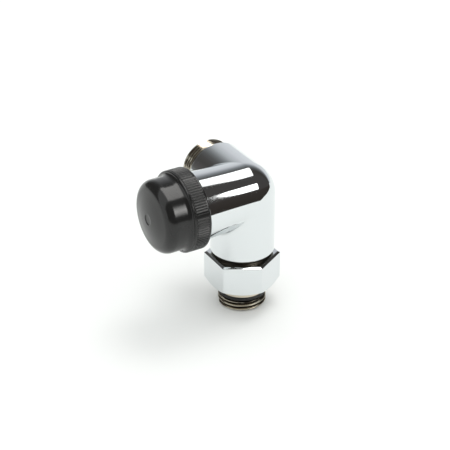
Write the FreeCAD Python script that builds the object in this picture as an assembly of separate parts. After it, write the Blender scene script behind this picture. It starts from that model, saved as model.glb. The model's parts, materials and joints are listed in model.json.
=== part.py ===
"""Double-angle thermostatic radiator valve: screw-on hand cap, spring-loaded insert, union tail.

Frame, in millimetres: Z is the axis of the vertical leg and its tail, with z = 0 at the tail's lower end.
The head with its cap points along -Y, and the pipe port along -X. All three axes cross at (0, 0, CENTRE_Z).
The valve is drawn closed: the cap is screwed home and holds the pin down.
"""

import FreeCAD, Part
import math
import os

V = FreeCAD.Vector
Z_AXIS = V(0, 0, 1)

# ---- driving dimensions ----
CENTRE_Z = 53.2          # height of the head and pipe axes above the tail's end
TUBE_R = 13.9            # outer radius of the leg, the pipe port and the ball between them
HEAD_R = 14.9            # outer radius of the head where it meets the cap
LEG_END_Z = 27.0         # lower edge of the leg
PIPE_END = 21.5          # distances are measured from the centre along each port's own axis
HEAD_END = 24.5
GAP = 0.05               # clearance between faces that touch on the real valve
EDGE = 0.5               # small edge break

# threads: crest radius, pitch, depth
TAIL_THREAD = (10.4775, 1.814, 1.162)     # G 1/2 B
UNION_THREAD = (12.5, 1.5, 0.92)          # M25 x 1.5
PIPE_THREAD = (12.0, 1.5, 0.92)           # M24 x 1.5
HEAD_THREAD = (15.0, 1.5, 0.92)           # M30 x 1.5

PIPE_THREAD_END = 31.0
PIPE_BORE_R = 7.6        # takes a 15 mm pipe
PIPE_SOCKET_DEPTH = 9.0
PIPE_CONE_DEPTH = 2.2
PIPE_INNER_R = 6.4
PIPE_INNER_END = 15.0

STUB_END_Z = 16.5
STUB_NECK_R = 11.4
STUB_THREAD_TOP_Z = 24.4
LEG_BORE_R = 9.0
LEG_BORE_TOP_Z = 36.5
OUTLET_R = 4.6
OUTLET_Y = -6.6
OUTLET_TOP_Z = 46.5

CHAMBER_R = 10.9
SEAT_FACE = 3.0          # along the head's axis
SEAT_BACK = 0.6
SEAT_BORE_R = 5.0
SEAT_LIP_R = 6.0
SEAT_LIP_H = 0.6
INLET_R = 4.7
INLET_Y = 4.4
INLET_BACK = -9.0

# ---- hexagons: width across flats ----
NUT_AF = 28.5
NUT_BOTTOM_Z = 10.6
NUT_TOP_Z = 24.3
NUT_CORNER_R = 15.7
NUT_TURN = -1.0          # degrees from X to the nut's first corner
BONNET_AF = 22.0
GLAND_AF = 10.0

# ---- union ----
NUT_BORE_R = UNION_THREAD[0] + 0.12
NUT_LIP_TOP_Z = 13.6
NUT_LIP_R = 10.65
TAIL_BORE_R = 7.4
TAIL_TUBE_R = 10.1
TAIL_COLLAR_R = 10.3
TAIL_FLANGE_R = 11.5
TAIL_FLANGE_Z = NUT_LIP_TOP_Z + GAP
TAIL_TOP_Z = STUB_END_Z - 0.15
TAIL_FIRST_CREST_Z = 0.85
FACE_GROOVE_DEPTH = 1.3
FACE_SEAL_R = 10.0
FACE_SEAL_SECTION_R = 0.68
TAIL_GROOVE_LOW_Z = 5.0
TAIL_GROOVE_TOP_Z = 7.0
TAIL_GROOVE_R = 8.9
TAIL_COLLAR_TOP_Z = 8.2
LUG_SIZE = (1.6, 2.6, 5.0)   # radial, across, along

# ---- insert, distances along the head's axis from the centre ----
BARREL_START = 12.0
BARREL_R = 10.8
BARREL_GROOVE = (20.6, 22.8)
BARREL_GROOVE_R = 9.5
SHOULDER_R = 14.3
NECK_START = 25.4
NECK_END = 33.4
HEX_END = 34.6
CAVITY_R = 8.2
CAVITY_END = 28.6
NECK_CAVITY = (25.6, 28.0)    # the cavity is wider inside the neck
NECK_CAVITY_R = 12.0
FRONT_RECESS = 30.2      # floor of the ring-shaped recess around the gland
FRONT_RECESS_R = (6.4, 9.4)
GLAND_R = 4.4
GLAND_HEAD_END = 35.5
GLAND_GROOVE = (32.0, 33.3)
GLAND_GROOVE_R = 3.7
PIN_SEAL_GROOVE = (29.3, 30.9)
PIN_R = 1.75
PIN_TIP = 36.3
PIN_COLLAR_R = 2.55
PIN_COLLAR_H = 1.1
SPINDLE_R = 2.0
SPINDLE_NECK_R = 1.4
GUIDE_END = 14.2
GUIDE_HUB_R = 3.6
GUIDE_HUB_H = 1.6
SPRING_CUP = (21.8, 24.0)
SPRING_CUP_R = 5.6
SPRING_CUP_DEPTH = 1.2
SPRING_CUP_WALL = 0.5
SPRING_R = 4.3
SPRING_WIRE_R = 0.45
SPRING_TURNS = 4.5
SPRING_RUNS = 16         # straight runs to a turn
DISC = (SEAT_FACE + SEAT_LIP_H + GAP, 5.6)
DISC_R = 6.9
DISC_PROUD = 0.7         # how far the disc stands out of its holder
DISC_WASHER_R = 3.2
DISC_WASHER_H = 0.7
HOLDER_END = 7.4
HOLDER_R = 7.6

# ---- cap ----
CAP_REAR = 25.0
COLLAR_FRONT = 32.8
COLLAR_R = 17.5
DOME_R = 15.75
DOME_START = 35.3
CAP_FRONT = 45.4
CAP_WALL = 1.9
FACE_ROUND_R = 4.6
FACE_CROWN = 1.4
DIMPLE_R = 2.4
DIMPLE_DEPTH = 0.35
CAP_BORE_R = HEAD_THREAD[0] + 0.2
RIB_COUNT = 96
RIB_DEPTH = 0.34
RIB_BAND = (26.1, 31.7)
BOSS_R = 5.7
BOSS_MOUTH = 36.1
BOSS_BORE_R = 4.3
PLATE = (36.33, 37.2, 38.6)   # button face, flange face, flange back
PLATE_R = 4.15
BUTTON_R = 2.5
CLIP = (36.5, 37.1)
CLIP_GROOVE_R = 4.7
CLIP_R = (3.1, 4.6)
CAP_WEB_COUNT = 6
CAP_WEB_THICKNESS = 1.2
CAP_WEB_MOUTH = 39.0


# ---- helpers ----
def outline(*steps):
    """A closed wire in the XZ plane.

    A step is (r, h) for a straight run, or ((r, h), (r, h)) for an arc's middle and end.
    """
    def at(point):
        return V(point[0], 0, point[1])

    edges = []
    here = steps[0]
    for step in list(steps[1:]) + [steps[0]]:
        arc = isinstance(step[0], tuple)
        there = step[1] if arc else step
        if arc:
            edges.append(Part.Arc(at(here), at(step[0]), at(there)).toShape())
        elif (at(here) - at(there)).Length > 1e-6:
            edges.append(Part.LineSegment(at(here), at(there)).toShape())
        here = there
    return Part.Wire(edges)


def lathe(*steps):
    """The solid that an outline sweeps about Z."""
    return Part.Face(outline(*steps)).revolve(V(0, 0, 0), Z_AXIS, 360)


def rod(radius, low, high):
    return Part.makeCylinder(radius, high - low, V(0, 0, low), Z_AXIS)


def tube(inner, outer, low, high):
    return rod(outer, low, high).cut(rod(inner, low - 1, high + 1))


def torus(radius, section, height):
    return Part.makeTorus(radius, section, V(0, 0, height), Z_AXIS)


def hexagon(across_flats, low, high, turn=0.0):
    corner = across_flats / math.sqrt(3)
    angles = [math.radians(turn + 60 * i) for i in range(7)]
    ring = Part.makePolygon([V(corner * math.cos(a), corner * math.sin(a), low) for a in angles])
    return Part.Face(ring).extrude(V(0, 0, high - low))


def thread_steps(thread, low, high):
    """Outline points of a ring thread that runs up from low to high, crest to crest."""
    crest, pitch, depth = thread
    count = int((high - low) / pitch)
    flat = pitch / 8
    flank = (pitch - flat - pitch / 6) / 2
    steps = []
    for i in range(count):
        base = low + i * pitch
        steps += [(crest, base), (crest, base + flat)]
        steps += [(crest - depth, base + flat + flank), (crest - depth, base + pitch - flank)]
    top = low + count * pitch
    return steps + [(crest, top), (crest, top + flat)]


def on_head(shape):
    """Turns a shape made along +Z so that it runs out along the head's axis, -Y."""
    shape.rotate(V(0, 0, 0), V(1, 0, 0), 90)
    shape.translate(V(0, 0, CENTRE_Z))
    return shape


def on_pipe(shape):
    """Turns a shape made along +Z so that it runs out along the pipe port's axis, -X."""
    shape.rotate(V(0, 0, 0), V(0, 1, 0), -90)
    shape.translate(V(0, 0, CENTRE_Z))
    return shape


# ---- the casting ----
def ball_ended(radius, end, end_radius=None):
    """A leg that starts as a ball at the centre and runs out to end, growing to end_radius."""
    wide = end_radius or radius
    return lathe((0, -radius), ((radius * math.sqrt(0.5), -radius * math.sqrt(0.5)), (radius, 0)),
                 (wide, end - EDGE), (wide - EDGE, end), (0, end))


def casting_outside():
    leg = ball_ended(TUBE_R, CENTRE_Z - LEG_END_Z)
    leg.rotate(V(0, 0, 0), V(1, 0, 0), 180)
    leg.translate(V(0, 0, CENTRE_Z))
    port = on_pipe(ball_ended(TUBE_R, PIPE_END))
    head = on_head(ball_ended(TUBE_R, HEAD_END, HEAD_R))
    return leg.fuse([port, head])


def union_stub():
    crest, pitch, depth = UNION_THREAD
    root = crest - depth
    low = STUB_END_Z + 0.9
    return lathe((0, STUB_END_Z), (root, STUB_END_Z),
                 *thread_steps(UNION_THREAD, low, STUB_THREAD_TOP_Z - pitch),
                 (STUB_NECK_R, STUB_THREAD_TOP_Z), (STUB_NECK_R, LEG_END_Z + 1), (0, LEG_END_Z + 1))


def pipe_spigot():
    crest, pitch, depth = PIPE_THREAD
    low = PIPE_END + 0.7
    return on_pipe(lathe((0, PIPE_END - 1), (crest - depth, PIPE_END - 1), (crest - depth, low - 0.4),
                         *thread_steps(PIPE_THREAD, low, PIPE_THREAD_END - 0.9),
                         (crest - depth, PIPE_THREAD_END), (0, PIPE_THREAD_END)))


def water_ways():
    """The drilled passages: pipe socket, inlet behind the seat, seat bore, chamber, outlet and leg bore."""
    socket_floor = PIPE_THREAD_END - PIPE_SOCKET_DEPTH
    mouth_r = PIPE_BORE_R + PIPE_CONE_DEPTH * math.tan(math.radians(30))
    socket = on_pipe(lathe((0, PIPE_INNER_END), (PIPE_INNER_R, PIPE_INNER_END),
                           (PIPE_INNER_R, socket_floor), (PIPE_BORE_R, socket_floor),
                           (PIPE_BORE_R, PIPE_THREAD_END - PIPE_CONE_DEPTH), (mouth_r, PIPE_THREAD_END),
                           (mouth_r, PIPE_THREAD_END + 1), (0, PIPE_THREAD_END + 1)))
    inlet = on_pipe(rod(INLET_R, 0, PIPE_INNER_END + 1))
    inlet.translate(V(0, INLET_Y, 0))
    behind_seat = on_head(rod(INLET_R, INLET_BACK, SEAT_BACK))
    seat_bore = on_head(rod(SEAT_BORE_R, 0, SEAT_FACE + 1))
    chamber = on_head(rod(CHAMBER_R, SEAT_FACE, HEAD_END + 1))
    outlet = rod(OUTLET_R, LEG_BORE_TOP_Z - 3, OUTLET_TOP_Z)
    outlet.translate(V(0, OUTLET_Y, 0))
    leg_bore = lathe((0, STUB_END_Z - 1), (LEG_BORE_R, STUB_END_Z - 1), (LEG_BORE_R, LEG_BORE_TOP_Z - 3),
                     (LEG_BORE_R - 3, LEG_BORE_TOP_Z), (0, LEG_BORE_TOP_Z))
    return socket.fuse([inlet, behind_seat, seat_bore, chamber, outlet, leg_bore])


def valve_body():
    lip = on_head(lathe((SEAT_BORE_R, SEAT_FACE - 1), (SEAT_LIP_R + 0.6, SEAT_FACE - 1),
                        (SEAT_LIP_R + 0.6, SEAT_FACE), (SEAT_LIP_R, SEAT_FACE + SEAT_LIP_H),
                        (SEAT_BORE_R, SEAT_FACE + SEAT_LIP_H)))
    solid = casting_outside().fuse([union_stub(), pipe_spigot()])
    return solid.cut(water_ways()).fuse(lip)


# ---- the insert ----
def bonnet():
    crest, pitch, depth = HEAD_THREAD
    groove_low, groove_high = BARREL_GROOVE
    wide_low, wide_high = NECK_CAVITY
    recess_in, recess_out = FRONT_RECESS_R
    turned = lathe((CAVITY_R, BARREL_START), (BARREL_R - EDGE, BARREL_START), (BARREL_R, BARREL_START + EDGE),
                   (BARREL_R, groove_low), (BARREL_GROOVE_R, groove_low),
                   (BARREL_GROOVE_R, groove_high), (BARREL_R, groove_high),
                   (BARREL_R, HEAD_END + GAP), (SHOULDER_R, HEAD_END + GAP), (SHOULDER_R, NECK_START),
                   *thread_steps(HEAD_THREAD, NECK_START + 0.3, NECK_END - 0.6),
                   (crest - depth, NECK_END), (GLAND_R + GAP, NECK_END),
                     (GLAND_R + GAP, CAVITY_END), (CAVITY_R, CAVITY_END),
                   (NECK_CAVITY_R, wide_high), (NECK_CAVITY_R, wide_low), (CAVITY_R, wide_low - 0.6))
    head = hexagon(BONNET_AF, NECK_END - 0.2, HEX_END).cut(rod(GLAND_R + GAP, NECK_END - 1, HEX_END + 1))
    round_off = lathe((0, NECK_END - 1), (BONNET_AF / math.sqrt(3), NECK_END - 1),
                      (BONNET_AF / math.sqrt(3), HEX_END - 0.5), (BONNET_AF / 2, HEX_END), (0, HEX_END))
    recess = tube(recess_in, recess_out, FRONT_RECESS, HEX_END + 1)
    return on_head(turned.fuse(head.common(round_off)).cut(recess))


def barrel_seal():
    low, high = BARREL_GROOVE
    section = (high - low) / 2 - GAP
    middle = (low + high) / 2
    inner = BARREL_GROOVE_R + GAP
    outer = CHAMBER_R - GAP
    return on_head(lathe((inner, middle - section / 2),
                         ((inner + 0.1, middle), (inner, middle + section / 2)),
                         (inner + 0.4, middle + section), (outer - 0.4, middle + section),
                         (outer, middle + section / 2), (outer, middle - section / 2),
                         (outer - 0.4, middle - section), (inner + 0.4, middle - section)))


def spindle_guide():
    low = BARREL_START + 0.3
    return on_head(lathe((SPINDLE_R + GAP, low - GUIDE_HUB_H), (GUIDE_HUB_R, low - GUIDE_HUB_H),
                         (GUIDE_HUB_R, low), (CAVITY_R - GAP, low),
                         (CAVITY_R - GAP, GUIDE_END), (SPINDLE_R + GAP, GUIDE_END)))


def guide_ring():
    """The snap ring that holds the spindle guide in the barrel."""
    ring = tube(CAVITY_R - 1.2, CAVITY_R - GAP, BARREL_START - 0.45, BARREL_START + 0.25)
    slot = Part.makeBox(CAVITY_R, 1.6, 2, V(0, -0.8, BARREL_START - 1))
    return on_head(ring.cut(slot))


def gland_nut():
    outer_low, outer_high = GLAND_GROOVE
    inner_low, inner_high = PIN_SEAL_GROOVE
    inner_root = PIN_R + 1.1
    turned = lathe((PIN_R + GAP, CAVITY_END + 0.1), (GLAND_R, CAVITY_END + 0.1), (GLAND_R, outer_low),
                   (GLAND_GROOVE_R, outer_low), (GLAND_GROOVE_R, outer_high), (GLAND_R, outer_high),
                   (GLAND_R, HEX_END + GAP), (PIN_R + GAP, HEX_END + GAP),
                   (PIN_R + GAP, inner_high), (inner_root, inner_high), (inner_root, inner_low),
                   (PIN_R + GAP, inner_low))
    head = hexagon(GLAND_AF, HEX_END + GAP, GLAND_HEAD_END).cut(rod(PIN_R + GAP, HEX_END, GLAND_HEAD_END + 1))
    return on_head(turned.fuse(head))


def gland_seal():
    section = (GLAND_R - GLAND_GROOVE_R) / 2 - 0.03
    return on_head(torus(GLAND_R - section - 0.01, section, sum(GLAND_GROOVE) / 2))


def pin_seal():
    section = 0.5
    return on_head(torus(PIN_R + GAP + section, section - 0.01, sum(PIN_SEAL_GROOVE) / 2))


# ---- what moves with the pin ----
def pressure_pin():
    low = SPRING_CUP[1]
    bend = EDGE * (1 - math.sqrt(0.5))
    return on_head(lathe((0, low + GAP), (PIN_COLLAR_R, low + GAP), (PIN_COLLAR_R, low + PIN_COLLAR_H),
                         (PIN_R, low + PIN_COLLAR_H), (PIN_R, PIN_TIP - EDGE),
                         ((PIN_R - bend, PIN_TIP - bend), (PIN_R - EDGE, PIN_TIP)), (0, PIN_TIP)))


def spindle():
    shoulder = SPRING_CUP[0] + SPRING_CUP_DEPTH
    low = DISC[0] - DISC_WASHER_H - 2 * GAP
    return on_head(lathe((0, low), (SPINDLE_NECK_R, low), (SPINDLE_NECK_R, HOLDER_END),
                         (SPINDLE_R, HOLDER_END), (SPINDLE_R, shoulder),
                         (SPINDLE_NECK_R, shoulder), (SPINDLE_NECK_R, SPRING_CUP[1]), (0, SPRING_CUP[1])))


def spring_cup():
    low, high = SPRING_CUP
    floor = low + SPRING_CUP_DEPTH + GAP
    inner = SPRING_CUP_R - SPRING_CUP_WALL
    return on_head(lathe((SPINDLE_NECK_R + GAP, high - GAP), (SPINDLE_NECK_R + GAP, floor),
                         (inner, floor), (inner, low), (SPRING_CUP_R, low), (SPRING_CUP_R, high - GAP)))


def return_spring():
    """A coil of round wire between the guide and the cup, in short straight runs that follow a helix."""
    low = GUIDE_END + SPRING_WIRE_R + GAP
    high = SPRING_CUP[0] + SPRING_CUP_DEPTH - SPRING_WIRE_R - GAP
    count = round(SPRING_TURNS * SPRING_RUNS)
    points = []
    for i in range(count + 1):
        angle = 2 * math.pi * i / SPRING_RUNS
        height = low + (high - low) * i / count
        points.append(V(SPRING_R * math.cos(angle), SPRING_R * math.sin(angle), height))
    wire_end = Part.Wire(Part.Circle(points[0], points[1] - points[0], SPRING_WIRE_R).toShape())
    return on_head(Part.makePolygon(points).makePipeShell([wire_end], True, False, 1))


def disc_holder():
    low, high = DISC
    inner = SPINDLE_NECK_R + GAP
    edge = 0.8
    return on_head(lathe((inner, high + GAP), (DISC_R + GAP, high + GAP), (DISC_R + GAP, low + DISC_PROUD),
                         (HOLDER_R, low + DISC_PROUD), (HOLDER_R, HOLDER_END - edge),
                         (HOLDER_R - edge, HOLDER_END - GAP), (inner, HOLDER_END - GAP)))


def valve_disc():
    low, high = DISC
    return on_head(tube(SPINDLE_NECK_R + GAP, DISC_R, low, high))


def disc_washer():
    """The riveted washer that clamps the disc, inside the seat's bore when the valve is closed."""
    high = DISC[0] - GAP
    return on_head(tube(SPINDLE_NECK_R + GAP, DISC_WASHER_R, high - DISC_WASHER_H, high))


# ---- the cap ----
def cap_shell():
    corner = math.sqrt(0.5)
    face = CAP_FRONT - FACE_CROWN
    flat_r = DOME_R - FACE_ROUND_R
    blend_r = DOME_START - COLLAR_FRONT
    inner_r = DOME_R - CAP_WALL
    inner_face = CAP_FRONT - CAP_WALL - FACE_CROWN
    inner_round = FACE_ROUND_R - CAP_WALL
    return lathe(
        (CAP_BORE_R + 0.4, CAP_REAR), (COLLAR_R - EDGE, CAP_REAR), (COLLAR_R, CAP_REAR + EDGE),
        (COLLAR_R, COLLAR_FRONT - EDGE), (COLLAR_R - EDGE, COLLAR_FRONT),
        ((DOME_R + (COLLAR_R - EDGE - DOME_R) * (1 - corner), DOME_START - blend_r * corner),
         (DOME_R, DOME_START)),
        (DOME_R, face - FACE_ROUND_R),
        ((flat_r + FACE_ROUND_R * corner, face - FACE_ROUND_R * (1 - corner)), (flat_r, face)),
        ((flat_r / 2, CAP_FRONT - FACE_CROWN / 4), (DIMPLE_R, CAP_FRONT - 0.02)),
        (DIMPLE_R - 0.3, CAP_FRONT - DIMPLE_DEPTH), (0, CAP_FRONT - DIMPLE_DEPTH), (0, inner_face),
        (inner_r - inner_round, inner_face),
        ((inner_r - inner_round * (1 - corner), inner_face - inner_round * (1 - corner)),
         (inner_r, inner_face - inner_round)),
        (inner_r, NECK_END + 1.4), (CAP_BORE_R, NECK_END + 0.6), (CAP_BORE_R, CAP_REAR + 0.4))


def cap_ribs():
    """The ring of fine grip ribs: the collar's surface is cut back between them."""
    low, high = RIB_BAND
    pitch = 2 * math.pi / RIB_COUNT
    shares = ((0.0, 0), (0.3, 0), (0.45, RIB_DEPTH), (0.85, RIB_DEPTH))
    points = []
    for i in range(RIB_COUNT):
        for share, depth in shares:
            angle = (i + share) * pitch
            radius = COLLAR_R - depth
            points.append(V(radius * math.cos(angle), radius * math.sin(angle), low))
    ribs = Part.Face(Part.makePolygon(points + [points[0]])).extrude(V(0, 0, high - low))
    return ribs.cut(rod(CAP_BORE_R + 0.5, low - 1, high + 1))


def cap_boss():
    """The middle boss that holds the pressure plate."""
    inner_face = CAP_FRONT - CAP_WALL - FACE_CROWN
    return lathe((BOSS_BORE_R, BOSS_MOUTH), (BOSS_R, BOSS_MOUTH), (BOSS_R, inner_face + 0.3),
                 (0, inner_face + 0.3), (0, PLATE[2] + GAP), (BOSS_BORE_R, PLATE[2] + GAP),
                 (BOSS_BORE_R, CLIP[1] + GAP), (CLIP_GROOVE_R, CLIP[1] + GAP),
                 (CLIP_GROOVE_R, CLIP[0] - GAP), (BOSS_BORE_R, CLIP[0] - GAP))


def cap_webs():
    """The webs that run out from the boss to the cap's wall."""
    inner_face = CAP_FRONT - CAP_WALL - FACE_CROWN
    reach = DOME_R - CAP_WALL + 0.3
    start = BOSS_R - 0.2
    webs = []
    for i in range(CAP_WEB_COUNT):
        web = Part.makeBox(reach - start, CAP_WEB_THICKNESS, inner_face - CAP_WEB_MOUTH + 0.2,
                           V(start, -CAP_WEB_THICKNESS / 2, CAP_WEB_MOUTH))
        web.rotate(V(0, 0, 0), Z_AXIS, i * 360 / CAP_WEB_COUNT)
        webs.append(web)
    inside = lathe((0, CAP_WEB_MOUTH - 1), (reach, CAP_WEB_MOUTH - 1),
                   (reach, inner_face - FACE_ROUND_R + CAP_WALL),
                   (DOME_R - FACE_ROUND_R + 0.3, inner_face + 0.2), (0, inner_face + 0.2))
    return [web.common(inside) for web in webs]


def protective_cap():
    low, high = RIB_BAND
    band = tube(COLLAR_R - RIB_DEPTH - 0.3, COLLAR_R + 1, low, high)
    return on_head(cap_shell().cut(band).fuse([cap_ribs(), cap_boss()] + cap_webs()))


def pressure_plate():
    button, flange, back = PLATE
    return on_head(lathe((0, button), (BUTTON_R - 0.3, button), (BUTTON_R, button + 0.3),
                         (BUTTON_R, flange), (PLATE_R, flange), (PLATE_R, back), (0, back)))


def plate_clip():
    ring = tube(CLIP_R[0], CLIP_R[1], CLIP[0], CLIP[1])
    return on_head(ring.cut(Part.makeBox(CLIP_R[1] + 1, 1.8, 2, V(0, -0.9, CLIP[0] - 0.5))))


# ---- the union ----
def union_nut():
    corner = NUT_AF / math.sqrt(3)
    drop = (corner - NUT_AF / 2) * math.tan(math.radians(30))
    turned = lathe((NUT_LIP_R, NUT_BOTTOM_Z), (NUT_AF / 2, NUT_BOTTOM_Z), (corner + 0.1, NUT_BOTTOM_Z + drop),
                   (corner + 0.1, NUT_TOP_Z - (corner + 0.1 - NUT_CORNER_R)), (NUT_CORNER_R, NUT_TOP_Z),
                   (NUT_BORE_R + 0.7, NUT_TOP_Z), (NUT_BORE_R, NUT_TOP_Z - 0.7),
                   (NUT_BORE_R, NUT_LIP_TOP_Z), (NUT_LIP_R, NUT_LIP_TOP_Z))
    return turned.common(hexagon(NUT_AF, NUT_BOTTOM_Z - 1, NUT_TOP_Z + 1, turn=NUT_TURN))


def tailpiece():
    crest, pitch, depth = TAIL_THREAD
    groove = FACE_SEAL_SECTION_R + 0.1
    outside = lathe((TAIL_BORE_R, 0), (crest - depth + 0.3, 0),
                    *thread_steps(TAIL_THREAD, TAIL_FIRST_CREST_Z, TAIL_GROOVE_LOW_Z - 0.4),
                    (crest, TAIL_GROOVE_LOW_Z), (TAIL_GROOVE_R, TAIL_GROOVE_LOW_Z),
                    (TAIL_GROOVE_R, TAIL_GROOVE_TOP_Z), (TAIL_COLLAR_R, TAIL_GROOVE_TOP_Z),
                    (TAIL_COLLAR_R, TAIL_COLLAR_TOP_Z), (TAIL_TUBE_R, TAIL_COLLAR_TOP_Z + 0.3),
                    (TAIL_TUBE_R, TAIL_FLANGE_Z), (TAIL_FLANGE_R, TAIL_FLANGE_Z),
                    (TAIL_FLANGE_R, TAIL_TOP_Z), (FACE_SEAL_R + groove, TAIL_TOP_Z),
                    (FACE_SEAL_R + groove, TAIL_TOP_Z - FACE_GROOVE_DEPTH),
                    (FACE_SEAL_R - groove, TAIL_TOP_Z - FACE_GROOVE_DEPTH),
                    (FACE_SEAL_R - groove, TAIL_TOP_Z), (TAIL_BORE_R, TAIL_TOP_Z))
    lugs = []
    radial, across, along = LUG_SIZE
    for turn in (0, 180):
        lug = Part.makeBox(radial + 0.6, across, along, V(TAIL_BORE_R - radial, -across / 2, 3))
        lug.rotate(V(0, 0, 0), Z_AXIS, turn)
        lugs.append(lug)
    return outside.fuse(lugs)


def tail_seal():
    """The rubber ring above the radiator thread."""
    low = TAIL_GROOVE_LOW_Z + GAP
    high = TAIL_GROOVE_TOP_Z - GAP
    inner = TAIL_GROOVE_R + GAP
    outer = TAIL_THREAD[0] - 0.05
    middle = (low + high) / 2
    return lathe((inner, low + 0.3), (inner + 0.3, low), (outer - 0.6, low),
                 ((outer, middle), (outer - 0.6, high)), (inner + 0.3, high), (inner, high - 0.3))


def union_seal():
    groove_floor = TAIL_TOP_Z - FACE_GROOVE_DEPTH
    return torus(FACE_SEAL_R, FACE_SEAL_SECTION_R, groove_floor + FACE_SEAL_SECTION_R + 0.02)



NODES = {
    "valve_body": valve_body,
    "insert_bonnet": bonnet,
    "insert_seal_ring": barrel_seal,
    "spindle_guide": spindle_guide,
    "guide_snap_ring": guide_ring,
    "gland_nut": gland_nut,
    "gland_seal_ring": gland_seal,
    "pin_seal_ring": pin_seal,
    "pressure_pin": pressure_pin,
    "spindle": spindle,
    "spring_cup": spring_cup,
    "return_spring": return_spring,
    "disc_holder": disc_holder,
    "valve_disc": valve_disc,
    "disc_washer": disc_washer,
    "protective_cap": protective_cap,
    "pressure_plate": pressure_plate,
    "plate_retaining_clip": plate_clip,
    "union_nut": union_nut,
    "tailpiece": tailpiece,
    "tail_seal_ring": tail_seal,
    "union_seal_ring": union_seal,
}

if __name__ == "__main__":
    os.makedirs("parts", exist_ok=True)
    for name, make in NODES.items():
        shape = make()
        print(name, shape.isValid(), len(shape.Solids), round(shape.Volume, 1))
        shape.exportStep("parts/" + name + ".step")
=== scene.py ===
"""Looks of the double-angle thermostatic radiator valve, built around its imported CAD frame.

Lengths in this script are millimetres; put() turns each mesh into metres. The frame is the CAD part's:
+Z up the leg, the head along -Y, the pipe port along -X, all three crossing at z = CENTRE_Z.
"""
import bmesh
import bpy
import json
import math
import numpy as np
from collections import namedtuple
from mathutils import Matrix, Vector


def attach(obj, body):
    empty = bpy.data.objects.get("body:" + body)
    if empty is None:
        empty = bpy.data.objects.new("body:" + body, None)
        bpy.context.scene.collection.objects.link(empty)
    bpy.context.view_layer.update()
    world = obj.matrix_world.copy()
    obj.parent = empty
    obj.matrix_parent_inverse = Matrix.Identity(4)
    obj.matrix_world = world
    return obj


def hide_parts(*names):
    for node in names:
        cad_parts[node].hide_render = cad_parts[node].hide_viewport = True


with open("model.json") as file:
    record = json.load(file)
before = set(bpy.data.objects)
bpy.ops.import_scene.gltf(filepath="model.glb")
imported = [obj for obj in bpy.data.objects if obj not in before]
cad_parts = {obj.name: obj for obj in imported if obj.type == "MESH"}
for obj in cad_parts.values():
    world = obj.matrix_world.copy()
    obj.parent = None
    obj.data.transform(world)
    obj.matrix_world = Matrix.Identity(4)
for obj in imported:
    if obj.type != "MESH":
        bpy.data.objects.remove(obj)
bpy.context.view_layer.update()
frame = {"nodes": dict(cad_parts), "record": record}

MM = 0.001
TURN = 2 * math.pi
TINY = 1e-9


class Thread(namedtuple("Thread", "crest pitch depth")):
    """An outside thread: its crest radius, pitch and depth."""

    @property
    def root(self):
        return self.crest - self.depth


# ---- dimensions, in millimetres, as in the CAD part ----
TAIL_THREAD = Thread(10.4775, 1.814, 1.162)
UNION_THREAD = Thread(12.5, 1.5, 0.92)
PIPE_THREAD = Thread(12.0, 1.5, 0.92)
HEAD_THREAD = Thread(15.0, 1.5, 0.92)

CENTRE_Z = 53.2
TUBE_R = 13.9
HEAD_GROWTH = 1.0          # how much the head's radius grows over HEAD_RUN
HEAD_RUN = 24.0
CREASE = 1.6               # width of the soft crease between two legs
LEG_END = 26.2             # distances from the centre to the end of each leg, and of its cast skin
LEG_SKIN = 25.7
PIPE_END = 21.5
PIPE_SKIN = 20.8
HEAD_END = 24.5
HEAD_SKIN = 24.0

PORT_THREAD_START = 22.2   # distances from the centre along the port
PORT_THREAD_END = 30.75
PORT_TIP = 31.0
SOCKET_R = 7.6
SOCKET_FLOOR = 22.0
PORT_BORE_R = 6.4
PORT_BORE_FLOOR = 15.0
INLET_R, INLET_SHIFT, INLET_REACH = 4.7, (4.4, 0), 6.2
INLET_FLOOR = 5.6

HEAD_BORE_R = 10.9         # distances from the centre along the head
HEAD_BORE_FLOOR = 3.0
SEAT_R, SEAT_RIM_R, SEAT_TOP = 5.0, 6.0, 3.6
SEAT_FLOOR = -4.0

STUB_NECK_R = 11.4         # heights of the union stub above the tail's end
STUB_THREAD_TOP_Z = 24.0
STUB_FACE_Z = 16.5
LEG_BORE_R = 9.0
LEG_BORE_TOP_Z = 33.5
OUTLET_R, OUTLET_SHIFT, OUTLET_REACH = 4.6, (0, -6.6), 5.8
OUTLET_FLOOR_Z = 36.5
OUTLET_TOP_Z = 41.2

NUT_AF = 28.5
NUT_TURN = -1.0            # degrees from X to the nut's first corner
NUT_BOTTOM_Z = 10.6
NUT_TOP_Z = 24.4
NUT_BEVEL = 1.0            # width of the bevel round the nut's top, along its flats
NUT_BEVEL_SLOPE = math.tan(math.radians(30))
NUT_CORNER_ROUND = 0.3
NUT_BORE_R = 12.62
NUT_MOUTH_R = 13.1
NUT_GROOVE = 0.55          # depth of its inside thread, which runs between the next two heights
NUT_THREAD_Z = (14.9, 23.2)
NUT_LIP_R = 10.65
NUT_LIP_TOP_Z = 13.6

TAIL_BORE_R = 7.4
TAIL_LUG_R = 5.8           # radius between the two lugs for the key
TAIL_LUG_TURN = 11         # half the width of a lug, in degrees
TAIL_LUG_Z = (3.0, 8.0)
TAIL_THREAD_Z = (0.35, 4.85)
TAIL_GROOVE_R = 8.9
TAIL_COLLAR_R = 10.3
TAIL_TUBE_R = 10.1
TAIL_FLANGE_R = 11.5
TAIL_FLANGE_Z = (13.65, 16.35)
FACE_GROOVE_R = (9.22, 10.78)
FACE_GROOVE_Z = 15.05

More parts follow.
